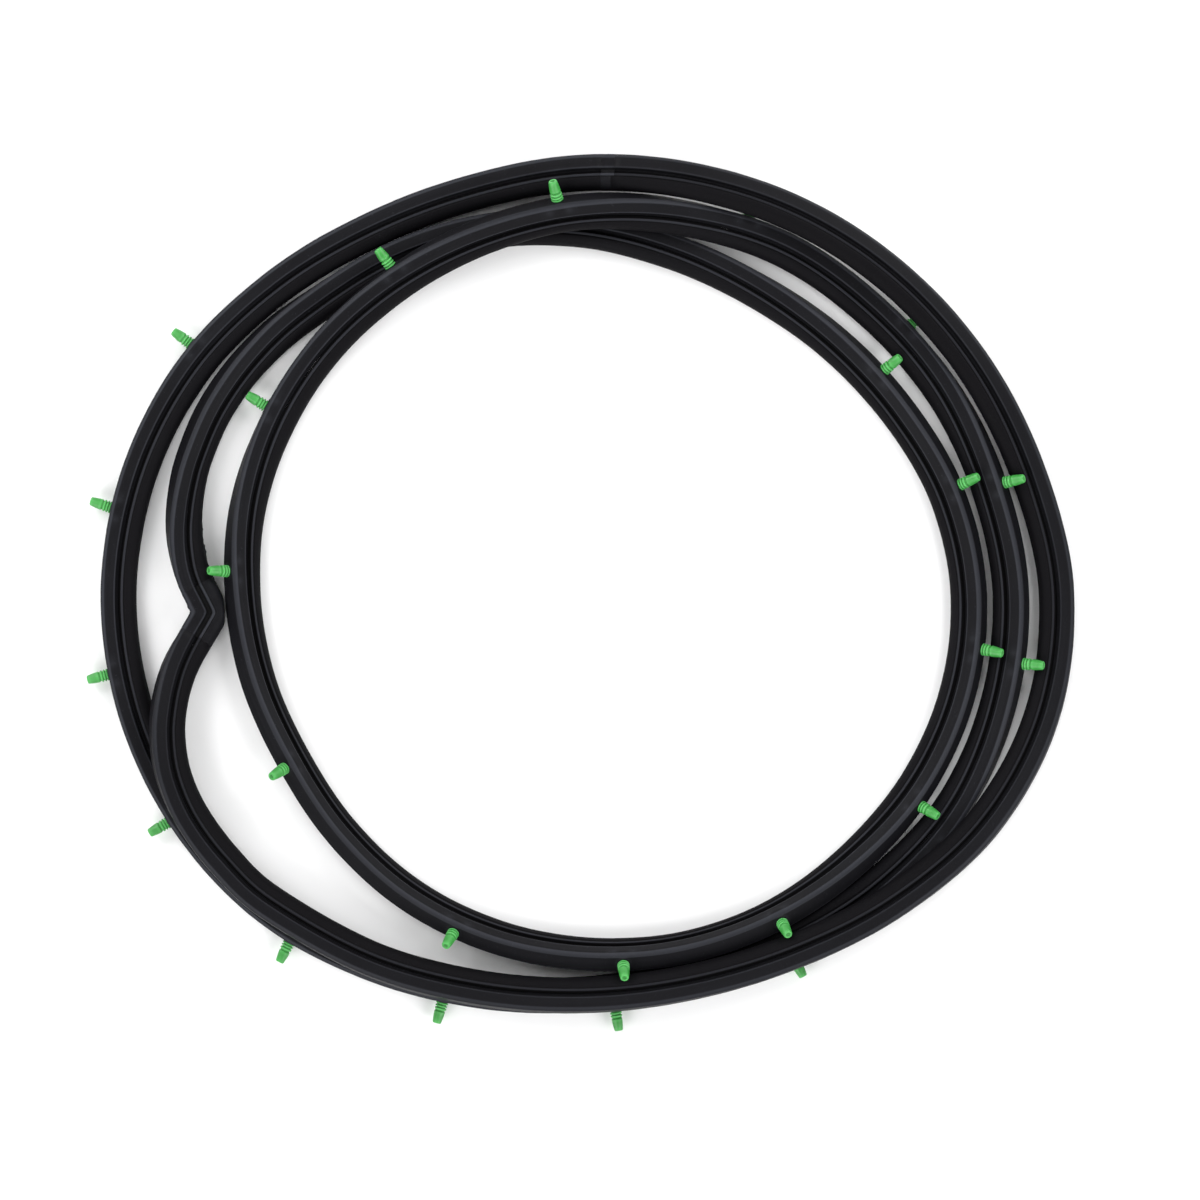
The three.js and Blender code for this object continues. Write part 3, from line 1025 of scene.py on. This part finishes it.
def build_corner(material):
    """The moulded corner. Each point of the section goes straight from the window run's end to
    the mitre plane and straight on to the door run's start, through the softened corner
    f(t) = (t + sqrt(t^2 + e^2) + 1 - sqrt(1 + e^2)) / 2. Flash stands on the foot at the notch."""
    sizes = bpy.context.scene.strip_sizes
    section = round_topped(MOULDED_HALF, sizes)
    proud = 0.00003
    start, meeting, end = mitre_path(section, proud)
    arm = np.linalg.norm(end - meeting, axis=1).mean()
    over = 1 + MOULDING_LAP / arm
    t = np.linspace(-over, over, 150)
    soft = 0.09

    def ease(value):
        return (value + np.sqrt(value**2 + soft**2) + 1 - math.sqrt(1 + soft**2)) / 2

    grid = (meeting + (start - meeting) * ease(-t)[:, None, None]
            + (end - meeting) * ease(t)[:, None, None])
    ridge = unit(grid - grid.mean(1, keepdims=True))
    lumps = wander(t * 0.02, 0.004, 21)[:, None] * wander(section.round[:-1], 0.008, 22)
    foot_edge = bell(section.depth, 0.0006, 0.0011)
    notch = bell(t, 0.22, 0.24)
    flash = (notch * (0.2 + ragged(t * arm, 0.0007, 23)))[:, None] * foot_edge
    lump_height, flash_height = 0.00006, 0.0007
    grid = grid + ridge * (lump_height * lumps + flash_height * flash)[..., None]
    grid = pressed_flat(grid)
    attributes = {"relief": section.relief}
    along = t * arm
    mesh = tube_mesh("corner_joint_rubber", grid, along, section.round, attributes)
    return show("corner_joint_rubber", mesh, material, "moulded_rubber", "corner_moulding")


def build_splice(material):
    """The butt splice: the moulded section carried across the gap between the runs, a little
    proud of them, with a low bead round its middle."""
    sizes = bpy.context.scene.strip_sizes
    section = round_topped(MOULDED_HALF, sizes)
    run = Run(SPLICE_BEARING + SPLICE_HALF_TURN, SPLICE_BEARING - SPLICE_HALF_TURN,
              lap=MOULDING_LAP)
    along = run.rings(0.0003)
    bead = bell(along, run.length / 2, 0.0006)
    proud, bead_height, lump_height = 0.00003, 0.00007, 0.00003
    offset = (proud + bead_height * bead)[:, None] * np.ones(len(section.depth))
    offset = offset + lump_height * wander(section.round[:-1], 0.004, 31)
    grid = on_floor(placed(section, offset, frames_at(run.place(along))))
    attributes = {"relief": section.relief}
    mesh = tube_mesh("splice_joint_rubber", grid, along, section.round, attributes)
    return show("splice_joint_rubber", mesh, material, "moulded_rubber", "splice_joint")


def build_clip(number, bearing, lean, material):
    """One clip, turned about its axis: its radius is the profile's at each height, but its head
    is an oblong with round corners, and a fine mould line stands along two sides."""
    clips = bpy.context.scene.clip_sizes
    half_depth = bpy.context.scene.strip_sizes.seal_depth / 2
    outline = refined(rounded(CLIP_PROFILE) * [MM, MM, 1], 0.0007)[1:-1]
    height, radius, relief = outline.T
    turn = np.linspace(0, 2 * np.pi, CLIP_SIDES, endpoint=False)
    oblong = (np.abs(np.cos(turn) / (clips.head_length / 2))**6
              + np.abs(np.sin(turn) / (clips.head_width / 2))**6)**(-1 / 6)
    head_radius = max(row[1] for row in CLIP_PROFILE[:3]) * MM
    in_head = ((height < -0.0027) & (radius > 0.0021))[:, None]
    reach = np.where(in_head, radius[:, None] * oblong / head_radius, radius[:, None])
    line = bell(np.sin(turn), 0.0, 0.10) * 0.00005
    reach = reach + line * (height > 0.0055)[:, None] * (height < 0.0119)[:, None]

    middle, tangent, depth_way, across = (row[0] for row in frames_at(place_of(bearing)))
    tilt = math.radians(lean)
    axis = -depth_way * math.cos(tilt) + tangent * math.sin(tilt)
    side = np.cross(across, axis)
    foot = middle - depth_way * half_depth
    grid = (foot + height[:, None, None] * axis
            + (reach * np.cos(turn))[..., None] * side
            + (reach * np.sin(turn))[..., None] * across)
    steps = np.linalg.norm(np.diff(outline[:, :2], axis=0), axis=1)
    along = np.concatenate([[0], np.cumsum(steps)]) + 0.05 * number
    around = np.linspace(0, 2 * np.pi, CLIP_SIDES + 1) * 0.003
    mesh = tube_mesh(f"push_clip_{number:02d}", grid, along, around, {"relief": relief[:, None]})
    return show(f"push_clip_{number:02d}", mesh, material, "clip_nylon", f"clip_{number:02d}")


# ---- Operators ----

class WEATHERSTRIP_OT_stage(bpy.types.Operator):
    """Makes the floor, the light and the camera."""

    bl_idname = "weatherstrip.stage"
    bl_label = "Stage"

    def execute(self, context):
        stage = context.scene.stage_settings
        low, high = (np.array(corner) for corner in CAD_BOX)
        reach = FLOOR_REACH
        mesh = bpy.data.meshes.new("floor")
        corners = [(-reach, -reach, 0), (reach, -reach, 0), (reach, reach, 0), (-reach, reach, 0)]
        mesh.from_pydata(corners, [], [(0, 1, 2, 3)])
        mesh.materials.append(floor_paint("floor_paint"))
        floor = bpy.data.objects.new("floor", mesh)
        context.scene.collection.objects.link(floor)

        for index, bearing in enumerate(SIDE_BEARINGS):
            self.soft_box(context, f"side_light_{index}", bearing=bearing, elevation=34,
                          distance=1.9, size=1.3, power=stage.side_light)
        self.soft_box(context, "top_light", bearing=120, elevation=76,
                      distance=2.6, size=1.1, power=stage.top_light)
        self.sky(context)
        self.camera(context, stage, (low + high) / 2)
        context.scene.view_settings.view_transform = "Standard"
        return {"FINISHED"}

    def soft_box(self, context, name, bearing, elevation, distance, size, power):
        """A square soft box that faces the middle of the coil."""
        light = bpy.data.lights.new(name, "AREA")
        light.size = size
        light.energy = power
        lamp = bpy.data.objects.new(name, light)
        turn, rise = math.radians(bearing), math.radians(elevation)
        lamp.location = (distance * math.cos(turn) * math.cos(rise),
                         distance * math.sin(turn) * math.cos(rise),
                         distance * math.sin(rise))
        lamp.rotation_euler = (math.pi / 2 - rise, 0, turn + math.pi / 2)
        context.scene.collection.objects.link(lamp)

    def sky(self, context):
        """A pale room that is brightest near the horizon."""
        world = bpy.data.worlds.new("studio")
        nodes = Nodes(world)
        way = nodes.add("ShaderNodeTexCoord", output="Generated")
        height = nodes.add("ShaderNodeSeparateXYZ", None, {0: way}, output="Z")
        tone = nodes.add("ShaderNodeValToRGB", {"stops": SKY_STOPS}, {0: height})
        back = nodes.add("ShaderNodeBackground", None, {"Color": tone, "Strength": 0.55})
        nodes.add("ShaderNodeOutputWorld", None, {"Surface": back})
        context.scene.world = world

    def camera(self, context, stage, centre):
        """A long lens straight above the coil, a little right of its middle. Its focal length
        is the sensor's width times the distance to the strip over the width of the view."""
        data = bpy.data.cameras.new("camera")
        camera = bpy.data.objects.new("camera", data)
        context.scene.collection.objects.link(camera)
        camera.location = (centre[0] + VIEW_OFFSET[0], centre[1] + VIEW_OFFSET[1],
                           stage.camera_height)
        data.sensor_width = 36
        strip_height = 0.012
        data.lens = data.sensor_width * (stage.camera_height - strip_height) / stage.view_width
        data.clip_end = 50
        context.scene.camera = camera


class WEATHERSTRIP_OT_base_runs(bpy.types.Operator):
    """Makes the dense-rubber base of the door run and of the window run."""

    bl_idname = "weatherstrip.base_runs"
    bl_label = "Base extrusions"

    def execute(self, context):
        bearings = [bearing for bearing, _ in CLIPS]
        build_base("door_base_rubber", door_run(), bearings,
                   dense_rubber("dense_rubber_door", 1.0), "door_run_base")
        build_base("window_base_rubber", window_run(), [],
                   dense_rubber("dense_rubber_window", 0.6), "window_run_base")
        return {"FINISHED"}


class WEATHERSTRIP_OT_bulb_runs(bpy.types.Operator):
    """Makes the sponge bulb of the door run and of the window run."""

    bl_idname = "weatherstrip.bulb_runs"
    bl_label = "Sponge bulbs"

    def execute(self, context):
        build_bulb("door_bulb_sponge", door_run(), ROUGH_LENGTH, 7,
                   sponge_rubber("sponge_rubber_door", 1.0), "door_run_bulb")
        build_bulb("window_bulb_sponge", window_run(), 0.0, 8,
                   sponge_rubber("sponge_rubber_window", 0.6), "window_run_bulb")
        return {"FINISHED"}


class WEATHERSTRIP_OT_mouldings(bpy.types.Operator):
    """Makes the mitred corner and the butt splice."""

    bl_idname = "weatherstrip.mouldings"
    bl_label = "Corner and splice"

    def execute(self, context):
        material = moulded_rubber("moulded_rubber")
        build_corner(material)
        build_splice(material)
        return {"FINISHED"}


class WEATHERSTRIP_OT_clips(bpy.types.Operator):
    """Makes the push-in clips along the door run."""

    bl_idname = "weatherstrip.clips"
    bl_label = "Push-in clips"

    def execute(self, context):
        material = clip_nylon("clip_nylon")
        for number, (bearing, lean) in enumerate(CLIPS, start=1):
            build_clip(number, bearing, lean, material)
        return {"FINISHED"}


class WEATHERSTRIP_PT_panel(bpy.types.Panel):
    """Lists the steps that build the weatherstrip."""

    bl_label = "Weatherstrip"
    bl_space_type = "VIEW_3D"
    bl_region_type = "UI"
    bl_category = "Weatherstrip"

    def draw(self, context):
        for operator in OPERATORS:
            self.layout.operator(operator.bl_idname)


OPERATORS = (
    WEATHERSTRIP_OT_stage,
    WEATHERSTRIP_OT_base_runs,
    WEATHERSTRIP_OT_bulb_runs,
    WEATHERSTRIP_OT_mouldings,
    WEATHERSTRIP_OT_clips,
)
GROUPS = {
    "strip_sizes": StripSizes,
    "clip_sizes": ClipSizes,
    "finishes": Finishes,
    "stage_settings": StageSettings,
}


def register():
    for group in GROUPS.values():
        bpy.utils.register_class(group)
    for operator in OPERATORS:
        bpy.utils.register_class(operator)
    bpy.utils.register_class(WEATHERSTRIP_PT_panel)
    for name, group in GROUPS.items():
        setattr(bpy.types.Scene, name, PointerProperty(type=group))


def unregister():
    for name in GROUPS:
        delattr(bpy.types.Scene, name)
    bpy.utils.unregister_class(WEATHERSTRIP_PT_panel)
    for operator in reversed(OPERATORS):
        bpy.utils.unregister_class(operator)
    for group in GROUPS.values():
        bpy.utils.unregister_class(group)


def main():
    """Makes the stage and every piece."""
    register()
    bpy.ops.weatherstrip.stage()
    bpy.ops.weatherstrip.base_runs()
    bpy.ops.weatherstrip.bulb_runs()
    bpy.ops.weatherstrip.mouldings()
    bpy.ops.weatherstrip.clips()


if __name__ == "__main__":
    main()
